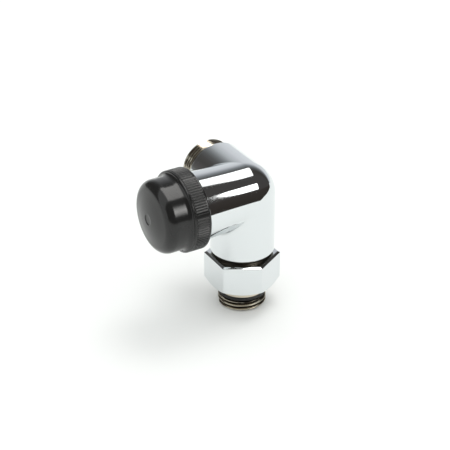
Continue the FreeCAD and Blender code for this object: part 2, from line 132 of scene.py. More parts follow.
INSERT_AF = 22.0           # the insert's hexagon, and distances from the centre along the head
INSERT_CORNER_ROUND = 0.25
INSERT_HEX = (33.4, 34.6)
INSERT_THREAD = (25.5, 33.25)
INSERT_TIP = 12.0
BARREL_R = 10.8
BARREL_GROOVE_R = 9.5
BARREL_BORE_R = 8.2
FLANGE_R = 14.3
HEX_FACE_R = 10.85         # the turned chamfer of the hexagon starts at this radius
HEX_CHAMFER = 25           # and slopes by this many degrees
NECK_CAVITY_R = 12.0
RECESS_R = (6.4, 9.4)
RECESS_FLOOR = 30.2
GLAND_R = 4.45
GLAND_FLOOR = 28.6

COLLAR_R = 17.5            # the cap, with distances from the centre along the head
COLLAR_REAR = 25.0
RIB_COUNT = 96
RIB_STEPS = (0, 0, 0, 0.1, 0.55, 1, 1, 0.55)     # depth of each column within a rib's pitch
RIB_DEPTH = 0.34
LAND_EDGES = (75.3, 20.6)  # degrees from +X up to +Z; a plain land goes down from each
LAND_WIDTH = 3.9
LAND_DEPTH = 0.03
SCORE_WIDTH = 0.9          # the score line beside each land, in degrees
SCORE_DEPTH = 0.5
KNURL = ((26.05, 0.0), (26.2, 0.6), (26.4, 1.0),     # share of the ribs' depth at distances along the head
         (31.35, 1.0), (31.55, 0.7), (31.7, 0.35))
NECK_R = 16.95             # the neck curves in from this radius to the dome's
NECK_RUN = 2.5
NECK_END = 35.3
DOME_R = 15.75
DOME_EDGE = 4.6            # radius of the dome's rounded edge, and where its curve would end
DOME_EDGE_END = 44.0
CROWN_TOP = 45.4
CROWN_DROP = 1.38          # how far the crown falls by the radius CROWN_R
CROWN_R = 11.15
CAP_BORE_R = 15.2
CAP_GROOVE = 0.5
CAP_THREAD = (26.0, 33.2)
CAP_WALL_R = 13.85
CAP_ROOF = 42.1
BOSS_R = 5.7
BOSS_END = 36.1
PLATE_R = 4.3
CLIP_R = 4.7
CLIP_GROOVE = (36.45, 37.15)
PLATE_ROOF = 38.65
WEB_COUNT = 6
WEB_HALF = 0.6


# ---- rings of points about an axis ----
def around(count):
    """Angles of the columns; the last repeats the first, so that a helix can step up by one pitch there."""
    return np.linspace(0, TURN, count + 1)


def ring(angles, radius, height):
    """One row of points (radius, height) for each column."""
    return np.full(len(angles), float(radius)), np.full(len(angles), float(height))


def level(angles, height):
    """The same height for each column."""
    return np.full(len(angles), float(height))


def rings(angles, profile):
    """A row for each point of a profile."""
    return [ring(angles, r, h) for r, h in profile]


EDGE_R = 0.15              # how much an unmarked corner of a profile is rounded
LONGEST_CUT = 0.45         # share of a side that the rounding at one of its ends may use
STRAIGHT = 0.03            # a corner that turns by less than twice this angle stays as it is


def rounded(profile, steps=4):
    """The profile with each inner corner rounded. A point may carry its own radius: (r, h, radius)."""
    out = [tuple(np.array(profile[0][:2], float))]
    for before, point, after in zip(profile, profile[1:], profile[2:]):
        size = point[2] if len(point) > 2 else EDGE_R
        out += rounded_corner(*(np.array(p[:2], float) for p in (before, point, after)), size, steps)
    out.append(tuple(np.array(profile[-1][:2], float)))
    return out


def rounded_corner(last, here, following, size, steps):
    """Points of an arc of radius size in the corner at here, or here itself where it is nearly straight."""
    before, after = last - here, following - here
    before_length, after_length = np.linalg.norm(before), np.linalg.norm(after)
    before, after = before / before_length, after / after_length
    half = math.acos(max(-1, min(1, float(before @ after)))) / 2
    if half > math.pi / 2 - STRAIGHT:
        return [tuple(here)]
    run = min(size / math.tan(half), LONGEST_CUT * before_length, LONGEST_CUT * after_length)
    size = run * math.tan(half)
    centre = here + (before + after) / np.linalg.norm(before + after) * size / math.sin(half)
    start, end = here + before * run - centre, here + after * run - centre
    sweep = math.atan2(start[0] * end[1] - start[1] * end[0], start @ end)
    arc = []
    for k in range(steps + 1):
        cosine, sine = math.cos(sweep * k / steps), math.sin(sweep * k / steps)
        arc.append(tuple(centre + (start[0] * cosine - start[1] * sine, start[0] * sine + start[1] * cosine)))
    return arc


def helix(angles, thread, low, high, leads, climb=1, shift=0.0):
    """Rows of a true helical thread between two heights.

    leads are the lengths over which the thread grows from its root at each end. climb is -1 where
    the height is measured against the axis. shift moves the crests along by a share of the pitch.
    """
    crest, pitch, depth = thread
    root = thread.root
    soft = 0.05 * depth
    middle = root + depth / 2
    tooth = ((0.0, crest - soft), (0.02, crest), (0.105, crest), (0.125, crest - soft), (0.30, middle),
             (0.465, root + soft), (0.50, root), (0.625, root), (0.66, root + soft), (0.825, middle))
    rows = []
    turns = int(math.ceil((high - low) / pitch)) + 1
    for turn in range(-2, turns + 2):
        for phase, radius in tooth:
            height = low + (turn + phase + shift + climb * angles / TURN) * pitch
            height = np.clip(height, low, high)
            rise = np.minimum((height - low) / leads[0], (high - height) / leads[1])
            rows.append((np.minimum(radius, root + depth * rise), height))
    return rows


def bore_thread(angles, bore, depth, pitch, low, high):
    """Rows down a threaded bore: helical grooves cut outwards into the bore's wall."""
    tooth = ((0.95, 0.5), (0.8, 0.0), (0.62, 0.0), (0.45, 0.5), (0.3, 1.0), (0.15, 1.0))
    rows = []
    turns = int(math.ceil((high - low) / pitch)) + 1
    for turn in range(turns, -2, -1):
        for phase, share in tooth:
            height = np.clip(low + (turn + phase + (angles - angles[0]) / TURN) * pitch, low, high)
            fade = np.clip(np.minimum(height - low, high - height) / pitch, 0, 1)
            rows.append((bore + depth * share * fade, height))
    return rows


def grid(rows, angles):
    """Points and quads of a stack of rows that closes on itself."""
    points = []
    for radius, height in rows:
        points.append(np.stack([radius * np.cos(angles), radius * np.sin(angles), height], 1))
    points = np.concatenate(points)
    width = len(angles)
    faces = []
    for j in range(len(rows)):
        below, above = j * width, (j + 1) % len(rows) * width
        for i in range(width - 1):
            faces.append((below + i, below + i + 1, above + i + 1, above + i))
    return points, faces


def on_head(points):
    """Points (x, y, distance along the axis) turned onto the head's axis."""
    return np.stack([points[:, 0], -points[:, 2], points[:, 1] + CENTRE_Z], 1)


def join(*parts):
    """Several (points, faces) as one."""
    points, faces, base = [], [], 0
    for p, f in parts:
        points.append(p)
        faces += [tuple(base + i for i in face) for face in f]
        base += len(p)
    return np.concatenate(points), faces


# ---- meshes ----
def clean_mesh(name, points, faces):
    """A closed mesh in metres, with doubled points merged and normals outward."""
    mesh = bpy.data.meshes.new(name)
    mesh.from_pydata((points * MM).tolist(), [], faces)
    work = bmesh.new()
    work.from_mesh(mesh)
    bmesh.ops.remove_doubles(work, verts=work.verts, dist=2e-7)
    bmesh.ops.dissolve_degenerate(work, edges=work.edges, dist=1e-7)
    bmesh.ops.recalc_face_normals(work, faces=work.faces)
    work.to_mesh(mesh)
    work.free()
    return mesh


def weighted_normals(mesh):
    """Vertex places and area-weighted normals, which keep a large face flat beside its rounded edge."""
    count = len(mesh.vertices)
    places = np.zeros(count * 3)
    mesh.vertices.foreach_get("co", places)
    places = places.reshape(-1, 3)
    normals = np.zeros((count, 3))
    for face in mesh.polygons:
        ids = list(face.vertices)
        normals[ids] += np.array(face.normal) * face.area
    length = np.linalg.norm(normals, axis=1)
    return places, normals / np.maximum(length, 1e-30)[:, None]


def groove_share(places, axis, middle, thread, start, end):
    """How deep each point lies in an outside thread, from 0 on its crests to 1 at its roots."""
    radius = np.linalg.norm(np.delete(places - middle, axis, 1), axis=1)
    within = (places[:, axis] > start) & (places[:, axis] < end) & (radius > thread.root - 0.1)
    return np.where(within, np.clip((thread.crest - radius) / thread.depth, 0, 1), 0)


def put(name, points, faces, material, body, nodes, slot, exact=None, groove=None):
    """Adds a piece that stands for CAD nodes and moves with a body.

    exact may give better normals. groove holds groove_share()'s last arguments, and stores its result, from
    which the nickel paints shade in the thread roots.
    """
    mesh = clean_mesh(name, points, faces)
    mesh.polygons.foreach_set("use_smooth", [True] * len(mesh.polygons))
    places, normals = weighted_normals(mesh)
    if exact is not None:
        normals = exact(places / MM, normals)
    mesh.normals_split_custom_set_from_vertices(normals.tolist())
    if groove is not None:
        shade = mesh.attributes.new("groove", "FLOAT", "POINT")
        shade.data.foreach_set("value", groove_share(places / MM, *groove).astype(np.float32))
    mesh.materials.append(material)
    piece = bpy.data.objects.new(name, mesh)
    bpy.context.scene.collection.objects.link(piece)
    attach(piece, body)
    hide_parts(*nodes)
    return piece


# ---- the casting ----
def leg_distances(p):
    """Distance from each leg's surface and its direction, for points measured from the centre."""
    found = []
    for axis in range(3):
        q = p.copy()
        q[:, axis] = np.maximum(q[:, axis], 0)
        length = np.linalg.norm(q, axis=1)
        radius = TUBE_R
        if axis == 1:
            radius = TUBE_R + HEAD_GROWTH * (np.maximum(-p[:, 1], 0) / HEAD_RUN) ** 1.6
        found.append((length - radius, q / np.maximum(length, TINY)[:, None]))
    return found


def soft_union(a, b):
    """Two (distance, direction) fields as one, with a soft crease where they meet."""
    (da, ga), (db, gb) = a, b
    width = CREASE * (1 - (ga * gb).sum(1)) + 1e-6
    share = np.maximum(width - abs(da - db), 0) / width
    nearer = (da < db)[:, None]
    return np.minimum(da, db) - share * share * width / 4, np.where(nearer, ga, gb)


def casting_value(p):
    """Distance from the casting's outside, less than 0 inside it."""
    leg_x, leg_y, leg_z = leg_distances(p)
    return soft_union(soft_union(leg_x, leg_y), leg_z)[0]


def casting_gradient(p):
    """Direction in which the distance grows, measured over a small step."""
    step = 1e-3
    columns = []
    for axis in range(3):
        shift = np.zeros(3)
        shift[axis] = step
        columns.append((casting_value(p + shift) - casting_value(p - shift)) / (2 * step))
    return np.stack(columns, 1)


def onto_casting(p):
    """Moves points onto the casting's outside."""
    for _ in range(6):
        slope = casting_gradient(p)
        p = p - slope * (casting_value(p) / np.maximum((slope * slope).sum(1), TINY))[:, None]
    return p


def turned_about(axis, local):
    """Local (u, v, w) points as (x, y, z): w runs along the given axis."""
    return np.roll(local, axis - 2, axis=1)


def leg_rows(angles, end):
    """Local points from the crease to a leg's end, close together near the crease."""
    u, v = TUBE_R * np.cos(angles), TUBE_R * np.sin(angles)
    top = np.minimum(0, np.minimum(u, v))
    shares = [0.0, 0.008, 0.018, 0.03, 0.045, 0.065, 0.09, 0.12, 0.16, 0.21, 0.27,
              0.34, 0.42, 0.5, 0.58, 0.66, 0.74, 0.81, 0.87, 0.92, 0.96, 1.0]
    return [np.stack([u, v, top + (-end - top) * s], 1) for s in shares]


def stitched(rows, width):
    """Quads of an open stack of rows."""
    faces = []
    for j in range(rows - 1):
        below, above = j * width, (j + 1) * width
        for i in range(width - 1):
            faces.append((below + i, below + i + 1, above + i + 1, above + i))
    return faces


def leg_piece(axis, end, inner_rows, angles):
    """One leg: skin from the crease to its end, then rows (u, v, distance along it) to a closed pole."""
    skin = leg_rows(angles, end)
    flat = turned_about(axis, np.concatenate(skin))
    outside = onto_casting(flat)
    outside[-len(angles):, axis] = -end
    inner = [turned_about(axis, np.stack([u, v, -s], 1)) for u, v, s in inner_rows]
    points = np.concatenate([outside] + inner)
    return points, stitched(len(skin) + len(inner), len(angles))


def corner_patch(count):
    """The ball's octant between the three legs, with count steps along each side."""
    points, faces, starts = [], [], []
    for i in range(count + 1):
        lift = math.pi / 2 * i / count
        steps = count - i
        starts.append(len(points))
        for k in range(steps + 1):
            turn = math.pi / 2 * k / max(steps, 1)
            reach = TUBE_R * math.cos(lift)
            points.append((reach * math.cos(turn), reach * math.sin(turn), TUBE_R * math.sin(lift)))
    for i in range(count):
        steps = count - i
        for k in range(steps):
            faces.append((starts[i] + k, starts[i] + k + 1, starts[i + 1] + k))
            if k < steps - 1:
                faces.append((starts[i] + k + 1, starts[i + 1] + k + 1, starts[i + 1] + k))
    return np.array(points), faces


def polar(angles, pairs):
    """Rows (radius, distance) as (u, v, distance) rows."""
    return [(r * np.cos(angles), r * np.sin(angles), s) for r, s in pairs]


def off_centre(angles, radius, shift, limit, distance):
    """A round hole about a shifted centre, kept inside a circle of radius limit about the axis."""
    middle = np.array(shift) * 0.55
    ways = np.stack([np.cos(angles), np.sin(angles)], 1)

    def reach(centre, r):
        gap = middle - np.array(centre)
        along = ways @ gap
        return -along + np.sqrt(along * along - gap @ gap + r * r)

    far = np.minimum(reach(shift, radius), reach((0, 0), limit))
    spots = middle + ways * far[:, None]
    return spots[:, 0], spots[:, 1], np.full(len(angles), distance)


def pole(angles, u, v, distance):
    """A row drawn together into one point."""
    return np.full(len(angles), u), np.full(len(angles), v), np.full(len(angles), distance)


def port_inside(angles):
    """Rows from the port's shoulder over its thread, into its socket and on to the inlet's floor."""
    root = PIPE_THREAD.root
    shoulder = rings(angles, rounded([(TUBE_R, PIPE_SKIN), (TUBE_R, PIPE_END, 0.7), (root, PIPE_END, 0.2),
                                      (root, PORT_THREAD_START)]))[1:]
    thread = helix(angles, PIPE_THREAD, PORT_THREAD_START, PORT_THREAD_END, (0.5, 1.0), climb=-1)
    mouth = rings(angles, rounded([
        (root, PORT_THREAD_END), (root - 0.15, PORT_TIP, 0.1), (8.87, PORT_TIP, 0.12),
        (SOCKET_R, 28.8, 0.1), (SOCKET_R, SOCKET_FLOOR, 0.05),
        (PORT_BORE_R, SOCKET_FLOOR, 0.12), (PORT_BORE_R, PORT_BORE_FLOOR)]))[1:]
    rows = polar(angles, shoulder + thread + mouth)
    for distance in (PORT_BORE_FLOOR, PORT_BORE_FLOOR - 0.2, INLET_FLOOR):
        rows.append(off_centre(angles, INLET_R, INLET_SHIFT, INLET_REACH, distance))
    rows.append(pole(angles, 2.4, 0, INLET_FLOOR))
    return rows


def head_inside(angles):
    """Rows from the head's rim down its bore to the seat and the floor below it."""
    rim_r = TUBE_R + HEAD_GROWTH
    profile = [(rim_r, HEAD_SKIN), (rim_r, HEAD_END, 0.45), (HEAD_BORE_R, HEAD_END, 0.25),
               (HEAD_BORE_R, HEAD_BORE_FLOOR, 0.1), (SEAT_RIM_R + 0.6, HEAD_BORE_FLOOR, 0.1),
               (SEAT_RIM_R, SEAT_TOP, 0.12), (SEAT_R, SEAT_TOP, 0.12),
               (SEAT_R, SEAT_FLOOR, 0.1), (0, SEAT_FLOOR)]
    return polar(angles, rings(angles, rounded(profile))[1:])


def leg_inside(angles):
    """Rows from the leg's end over the union stub's thread and up its bore to the outlet's floor."""
    root = UNION_THREAD.root
    neck, thread_start, face = CENTRE_Z - 24.4, CENTRE_Z - STUB_THREAD_TOP_Z, CENTRE_Z - STUB_FACE_Z
    collar = rings(angles, rounded([
        (TUBE_R, LEG_SKIN), (TUBE_R, LEG_END, 0.35), (STUB_NECK_R, LEG_END, 0.15),
        (STUB_NECK_R, neck, 0.1), (root, neck + 0.2, 0.05), (root, thread_start)]))[1:]
    thread = helix(angles, UNION_THREAD, thread_start, face - 0.3, (0.8, 0.9), climb=-1)
    bore = rings(angles, rounded([
        (root, face - 0.3), (root - 0.2, face, 0.1), (LEG_BORE_R, face, 0.15),
        (LEG_BORE_R, CENTRE_Z - LEG_BORE_TOP_Z, 0.3), (6.0, CENTRE_Z - OUTLET_FLOOR_Z)]))[1:]
    rows = polar(angles, collar + thread + bore)
    for z in (OUTLET_FLOOR_Z, OUTLET_FLOOR_Z + 0.2, OUTLET_TOP_Z):
        rows.append(off_centre(angles, OUTLET_R, OUTLET_SHIFT, OUTLET_REACH, CENTRE_Z - z))
    rows.append(pole(angles, 0, -3.8, CENTRE_Z - OUTLET_TOP_Z))
    return rows


def casting():
    """The whole casting, about the frame's axes."""
    angles = around(192)
    pieces = [
        leg_piece(2, LEG_SKIN, leg_inside(angles), angles),
        leg_piece(0, PIPE_SKIN, port_inside(angles), angles),
        leg_piece(1, HEAD_SKIN, head_inside(angles), angles),
        corner_patch(48),
    ]
    points, faces = join(*pieces)
    return points + (0, 0, CENTRE_Z), faces


def casting_normals(places, normals):
    """Exact normals on the cast outside; the turned ends keep the weighted ones."""
    p = places - (0, 0, CENTRE_Z)
    slope = casting_gradient(p)
    on_skin = abs(casting_value(p)) < 0.01
    for axis, end in ((2, LEG_SKIN), (0, PIPE_SKIN), (1, HEAD_SKIN)):
        on_skin &= p[:, axis] > -end - 0.05
    length = np.maximum(np.linalg.norm(slope, axis=1), TINY)[:, None]
    return np.where(on_skin[:, None], slope / length, normals)


# ---- hexagons ----
def hex_angles(corner_round, across, flat_steps=12, turn=0.0):
    """Column angles that fall on a rounded hexagon's tangent points and corners."""
    middle = (across / 2 - corner_round) / math.cos(math.pi / 6)
    tangent = math.atan2(corner_round * 0.5, middle + corner_round * math.cos(math.pi / 6))
    angles = []
    for corner in range(6):
        base = math.radians(turn) + corner * math.pi / 3
        angles += list(base + np.linspace(-tangent, tangent, 7))
        angles += list(base + np.linspace(tangent, math.pi / 3 - tangent, flat_steps + 1)[1:-1])
    return np.array(angles + [angles[0] + TURN])


def hex_radius(angles, across, corner_round, turn=0.0):
    """Radius of a hexagon with rounded corners at each angle."""
    off = (angles - math.radians(turn) + math.pi / 6) % (math.pi / 3) - math.pi / 6
    flat = across / 2 / np.cos(math.pi / 6 - abs(off))
    middle = (across / 2 - corner_round) / math.cos(math.pi / 6)
    inside = np.maximum(corner_round ** 2 - (middle * np.sin(off)) ** 2, 0)
    round_part = middle * np.cos(off) + np.sqrt(inside)
    tangent = math.atan2(corner_round * 0.5, middle + corner_round * math.cos(math.pi / 6))
    return np.where(abs(off) <= tangent + TINY, round_part, flat)


def softened(a, b, c, size=0.12, steps=3):
    """Rows that round the crease b between rows a and c, by a distance size."""
    (ra, ha), (rb, hb), (rc, hc) = a, b, c
    length_a = np.maximum(np.hypot(ra - rb, ha - hb), TINY)
    length_c = np.maximum(np.hypot(rc - rb, hc - hb), TINY)
    share_a = np.minimum(size, LONGEST_CUT * length_a) / length_a
    share_c = np.minimum(size, LONGEST_CUT * length_c) / length_c
    first = (rb + (ra - rb) * share_a, hb + (ha - hb) * share_a)
    last = (rb + (rc - rb) * share_c, hb + (hc - hb) * share_c)
    rows = []
    for k in range(steps + 1):
        t = k / steps
        w0, w1, w2 = (1 - t) ** 2, 2 * t * (1 - t), t * t
        rows.append((w0 * first[0] + w1 * rb + w2 * last[0], w0 * first[1] + w1 * hb + w2 * last[1]))
    return rows


def union_nut():
    """The hexagon nut: bevelled flats outside, then down its bore over the thread and the inward lip."""
    angles = hex_angles(NUT_CORNER_ROUND, NUT_AF, turn=NUT_TURN)
    side = hex_radius(angles, NUT_AF, NUT_CORNER_ROUND, NUT_TURN)
    flat = NUT_AF / 2
    thread_low, thread_high = NUT_THREAD_Z
    low_flat = ring(angles, flat - 0.15, NUT_BOTTOM_Z)
    low_side = (side, NUT_BOTTOM_Z + (side - flat + 0.15) * NUT_BEVEL_SLOPE)
    high_side = (side, level(angles, NUT_TOP_Z - NUT_BEVEL * NUT_BEVEL_SLOPE))
    high_flat = (side * (1 - NUT_BEVEL / flat), level(angles, NUT_TOP_Z))
    inner_low = ring(angles, NUT_LIP_R, NUT_BOTTOM_Z)
    bore_top = ring(angles, NUT_MOUTH_R, NUT_TOP_Z)
    outside = softened(inner_low, low_flat, low_side) + softened(low_flat, low_side, high_side)
    outside += softened(low_side, high_side, high_flat, 0.2) + softened(high_side, high_flat, bore_top, 0.1)
    top = rings(angles, rounded([
        (NUT_MOUTH_R, NUT_TOP_Z), (NUT_MOUTH_R - 0.2, NUT_TOP_Z - 0.02, 0.05),
        (NUT_BORE_R, 23.7, 0.1), (NUT_BORE_R, thread_high)]))
    thread = bore_thread(angles, NUT_BORE_R, NUT_GROOVE, UNION_THREAD.pitch, thread_low, thread_high)
    bottom = rings(angles, rounded([
        (NUT_BORE_R, thread_low), (NUT_BORE_R, NUT_LIP_TOP_Z, 0.1), (NUT_LIP_R, NUT_LIP_TOP_Z, 0.2),
        (NUT_LIP_R, NUT_BOTTOM_Z, 0.2), (11.2, NUT_BOTTOM_Z)]))
    return grid(outside + top + thread + bottom, angles)


# ---- the tail ----
def tailpiece():
    """The union tail: thread, seal groove and flange outside, then down its bore past the two key lugs."""
    root = TAIL_THREAD.root
    angles = around(180)
    thread_low, thread_high = TAIL_THREAD_Z
    flange_low, flange_high = TAIL_FLANGE_Z
    groove_in, groove_out = FACE_GROOVE_R
    lug_low, lug_high = TAIL_LUG_Z
    foot = rings(angles, rounded([
        (TAIL_BORE_R + 0.6, 0), (root + 0.3, 0, 0.12), (root, 0.3, 0.05), (root, thread_low)]))
    thread = helix(angles, TAIL_THREAD, thread_low, thread_high, (0.35, 0.3), shift=0.337)
    outside = rings(angles, rounded([
        (root, thread_high), (TAIL_GROOVE_R, 4.95, 0.05), (TAIL_GROOVE_R, 7.0, 0.1),
        (TAIL_COLLAR_R, 7.0, 0.12), (TAIL_COLLAR_R, 8.2, 0.15), (TAIL_TUBE_R, 8.5, 0.15),
        (TAIL_TUBE_R, flange_low, 0.2), (TAIL_FLANGE_R, flange_low, 0.25), (TAIL_FLANGE_R, flange_high, 0.25),
        (groove_out, flange_high, 0.1), (groove_out, FACE_GROOVE_Z, 0.1),
        (groove_in, FACE_GROOVE_Z, 0.1), (groove_in, flange_high, 0.1),
        (TAIL_BORE_R, flange_high, 0.3), (TAIL_BORE_R, lug_high)]))
    off_lug = abs((angles + math.pi / 2) % math.pi - math.pi / 2)
    lugged = np.where(off_lug < math.radians(TAIL_LUG_TURN), TAIL_LUG_R, TAIL_BORE_R)
    lugs = [(lugged, level(angles, lug_high)), (lugged, level(angles, lug_low))]
    bore = rings(angles, rounded([(TAIL_BORE_R, lug_low), (TAIL_BORE_R, 0, 0.3), (TAIL_BORE_R + 0.6, 0)]))
    return grid(foot + thread + outside + lugs + bore, angles)


# ---- the insert ----
def bonnet():
    """The insert: barrel, flange, threaded neck and hexagon outside, then the recess, gland and bore."""
    root = HEAD_THREAD.root
    angles = hex_angles(INSERT_CORNER_ROUND, INSERT_AF, flat_steps=18)
    side = hex_radius(angles, INSERT_AF, INSERT_CORNER_ROUND)
    thread_start, thread_end = INSERT_THREAD
    hex_start, hex_end = INSERT_HEX
    recess_in, recess_out = RECESS_R
    barrel = rings(angles, rounded([
        (9.0, INSERT_TIP), (BARREL_R, INSERT_TIP, 0.4), (BARREL_R, 20.6),
        (BARREL_GROOVE_R, 20.6, 0.1), (BARREL_GROOVE_R, 22.8, 0.1), (BARREL_R, 22.8),
        (BARREL_R, 24.55, 0.1), (FLANGE_R, 24.55), (FLANGE_R, 25.4),
        (root, 25.4, 0.05), (root, thread_start)]))
    thread = helix(angles, HEAD_THREAD, thread_start, thread_end, (0.6, 0.8))
    shoulder = ring(angles, 13.7, hex_start)
    low_side = (side, level(angles, hex_start))
    high_side = (side, hex_end - (side - HEX_FACE_R) * math.tan(math.radians(HEX_CHAMFER)))
    high_flat = ring(angles, HEX_FACE_R, hex_end)
    recess_top = ring(angles, recess_out, hex_end)
    head = [ring(angles, root, thread_end), ring(angles, root - 0.1, hex_start - 0.02), shoulder]
    head += softened(shoulder, low_side, high_side, 0.08) + softened(low_side, high_side, high_flat, 0.12)
    head += softened(high_side, high_flat, recess_top, 0.08)
    inside = rings(angles, rounded([
        (recess_out + 0.4, hex_end), (recess_out, hex_end, 0.15), (recess_out, RECESS_FLOOR, 0.2),
        (recess_in, RECESS_FLOOR, 0.2), (recess_in, hex_end, 0.15), (GLAND_R, hex_end, 0.1),
        (GLAND_R, GLAND_FLOOR, 0.1), (BARREL_BORE_R, GLAND_FLOOR, 0.2), (NECK_CAVITY_R, 28.0, 0.2),
        (NECK_CAVITY_R, 25.6, 0.2), (BARREL_BORE_R, 25.0, 0.2), (BARREL_BORE_R, INSERT_TIP, 0.2),
        (9.0, INSERT_TIP)]))
    points, faces = grid(barrel + thread + head + inside, angles)
    return on_head(points), faces


# ---- the cap ----
def rib_cut():
    """Depth cut into the collar at each column: ribs, plain lands and the score line beside each land."""
    columns = RIB_COUNT * len(RIB_STEPS)
    angles = around(columns)
    cut = RIB_DEPTH * np.array(list(RIB_STEPS) * RIB_COUNT + [RIB_STEPS[0]])
    for edge in LAND_EDGES:
        for half_turn in (0, 180):
            below = (edge + half_turn - np.degrees(angles)) % 360
            cut = np.where(below < LAND_WIDTH, LAND_DEPTH, cut)
            cut = np.where(below > 360 - SCORE_WIDTH, SCORE_DEPTH, cut)
    cut[-1] = cut[0]
    return angles, cut


def arc(centre, radius, start, end, steps):
    """Points of an arc in the profile plane, angles in degrees."""
    spots = np.radians(np.linspace(start, end, steps + 1))
    return [(centre[0] + radius * math.cos(a), centre[1] + radius * math.sin(a)) for a in spots]


def cap():
    """The hand cap: knurled collar, neck and dome outside; boss, wall, thread and webs inside."""
    angles, cut = rib_cut()
    rear = rings(angles, rounded([
        (16.0, COLLAR_REAR), (17.0, COLLAR_REAR, 0.1),
        (COLLAR_R, COLLAR_REAR + 0.5, 0.35), (COLLAR_R, COLLAR_REAR + 1.0, 0.1)]))
    knurl = [(COLLAR_R - cut * share, level(angles, distance)) for distance, share in KNURL]
    front = rings(angles, [(17.33, 31.8), (17.32, 31.9), (17.42, 31.98), (COLLAR_R, 32.15), (COLLAR_R, 32.35),
                           (17.4, 32.6), (17.2, 32.75), (NECK_R, 32.82)])
    neck = []
    for turn in np.radians((12, 24, 36, 48, 60, 72, 84, 90)):
        radius = DOME_R + (NECK_R - DOME_R) * (1 - math.sin(turn))
        neck.append((radius, NECK_END - NECK_RUN * math.cos(turn)))
    dome_edge = arc((DOME_R - DOME_EDGE, DOME_EDGE_END - DOME_EDGE), DOME_EDGE, 0, 80, 12)
    crown = [(r, CROWN_TOP - CROWN_DROP * (r / CROWN_R) ** 2) for r in (10.0, 8.8, 7.4, 6.0, 4.6, 3.4, 2.7)]
    dimple = [(2.45, 45.33), (2.3, 45.24), (2.15, 45.12), (2.0, 45.06),
              (1.4, 45.04), (0.7, 45.03), (0, 45.03)]
    outside = rings(angles, neck + dome_edge + crown + dimple)
    clip_low, clip_high = CLIP_GROOVE
    thread_low, thread_high = CAP_THREAD
    inside = rings(angles, rounded([
        (0, PLATE_ROOF), (PLATE_R, PLATE_ROOF), (PLATE_R, clip_high, 0.05), (CLIP_R, clip_high, 0.05),
        (CLIP_R, clip_low, 0.05), (PLATE_R, clip_low, 0.05), (PLATE_R, BOSS_END), (BOSS_R, BOSS_END),
        (BOSS_R, CAP_ROOF, 0.4), (CAP_WALL_R, CAP_ROOF, 2.6), (CAP_WALL_R, 34.8, 0.3),
        (CAP_BORE_R, 34.0, 0.2), (CAP_BORE_R, thread_high + 0.2)]))
    thread = bore_thread(angles, CAP_BORE_R, CAP_GROOVE, HEAD_THREAD.pitch, thread_low, thread_high)
    mouth = rings(angles, rounded([
        (CAP_BORE_R, thread_low), (CAP_BORE_R, COLLAR_REAR + 0.4, 0.1),
        (CAP_BORE_R + 0.4, COLLAR_REAR, 0.1), (16.0, COLLAR_REAR)]))
    shell = grid(rear + knurl + front + outside + inside + thread + mouth, angles)
    points, faces = join(shell, *[web(i) for i in range(WEB_COUNT)])
    return on_head(points), faces


def web(index):
    """One of the webs between the cap's boss and its wall."""
    inner, outer, top = BOSS_R - 0.2, CAP_WALL_R + 0.3, CAP_ROOF + 0.2
    side = [(inner, 39.0), (outer, 39.0), (outer, 39.4), (13.3, 41.2), (11.45, top), (inner, top)]
    turn = index * TURN / WEB_COUNT
    cosine, sine = math.cos(turn), math.sin(turn)
    points = []
    for across in (-WEB_HALF, WEB_HALF):
        for r, distance in side:
            points.append((r * cosine - across * sine, r * sine + across * cosine, distance))
    count = len(side)
    faces = [tuple(range(count)), tuple(range(2 * count - 1, count - 1, -1))]
    faces += [(i, (i + 1) % count, count + (i + 1) % count, count + i) for i in range(count)]
    return np.array(points), faces


# ---- materials ----
def new_material(name, color, metallic, roughness, **inputs):
    """A plain material; inputs are more inputs of its shader by name."""
    material = bpy.data.materials.new(name)
    material.use_nodes = True
    shader = material.node_tree.nodes["Principled BSDF"]
    shader.inputs["Base Color"].default_value = (*color, 1)
    shader.inputs["Metallic"].default_value = metallic
    shader.inputs["Roughness"].default_value = roughness
    for key, value in inputs.items():
        shader.inputs[key.replace("_", " ")].default_value = value
    return material


def add_grain(material, scale, height, rough_low, rough_high):
    """Fine surface grain: a noise drives the roughness and a very small bump, its height in metres."""
    nodes, links = material.node_tree.nodes, material.node_tree.links
    shader = nodes["Principled BSDF"]
    place = nodes.new("ShaderNodeTexCoord")
    noise = nodes.new("ShaderNodeTexNoise")
    noise.inputs["Scale"].default_value = scale
    noise.inputs["Detail"].default_value = 4
    links.new(place.outputs["Object"], noise.inputs["Vector"])
    spread = nodes.new("ShaderNodeMapRange")
    spread.inputs["From Min"].default_value = 0.3
    spread.inputs["From Max"].default_value = 0.7
    spread.inputs["To Min"].default_value = rough_low
    spread.inputs["To Max"].default_value = rough_high
    links.new(noise.outputs["Fac"], spread.inputs["Value"])
    links.new(spread.outputs["Result"], shader.inputs["Roughness"])
    bump = nodes.new("ShaderNodeBump")
    bump.inputs["Strength"].default_value = 0.5
    bump.inputs["Distance"].default_value = height
    links.new(noise.outputs["Fac"], bump.inputs["Height"])
    links.new(bump.outputs["Normal"], shader.inputs["Normal"])
    return material


def paint_groove_shade(material, dark):
    """Painted shade in a thread's roots, following the stored groove depth."""
    nodes, links = material.node_tree.nodes, material.node_tree.links
    shader = nodes["Principled BSDF"]
    stored = nodes.new("ShaderNodeAttribute")
    stored.attribute_name = "groove"
    ramp = nodes.new("ShaderNodeValToRGB")
    first, last = ramp.color_ramp.elements
    first.position, last.position = 0.12, 0.55
    first.color = shader.inputs["Base Color"].default_value
    last.color = (*dark, 1)
    links.new(stored.outputs["Fac"], ramp.inputs["Fac"])
    links.new(ramp.outputs["Color"], shader.inputs["Base Color"])
    return material


def grained(name, color, metallic, roughness, grain, **inputs):
    """A material with surface grain; grain is (scale, height, lowest roughness, highest roughness)."""
    return add_grain(new_material(name, color, metallic, roughness, **inputs), *grain)


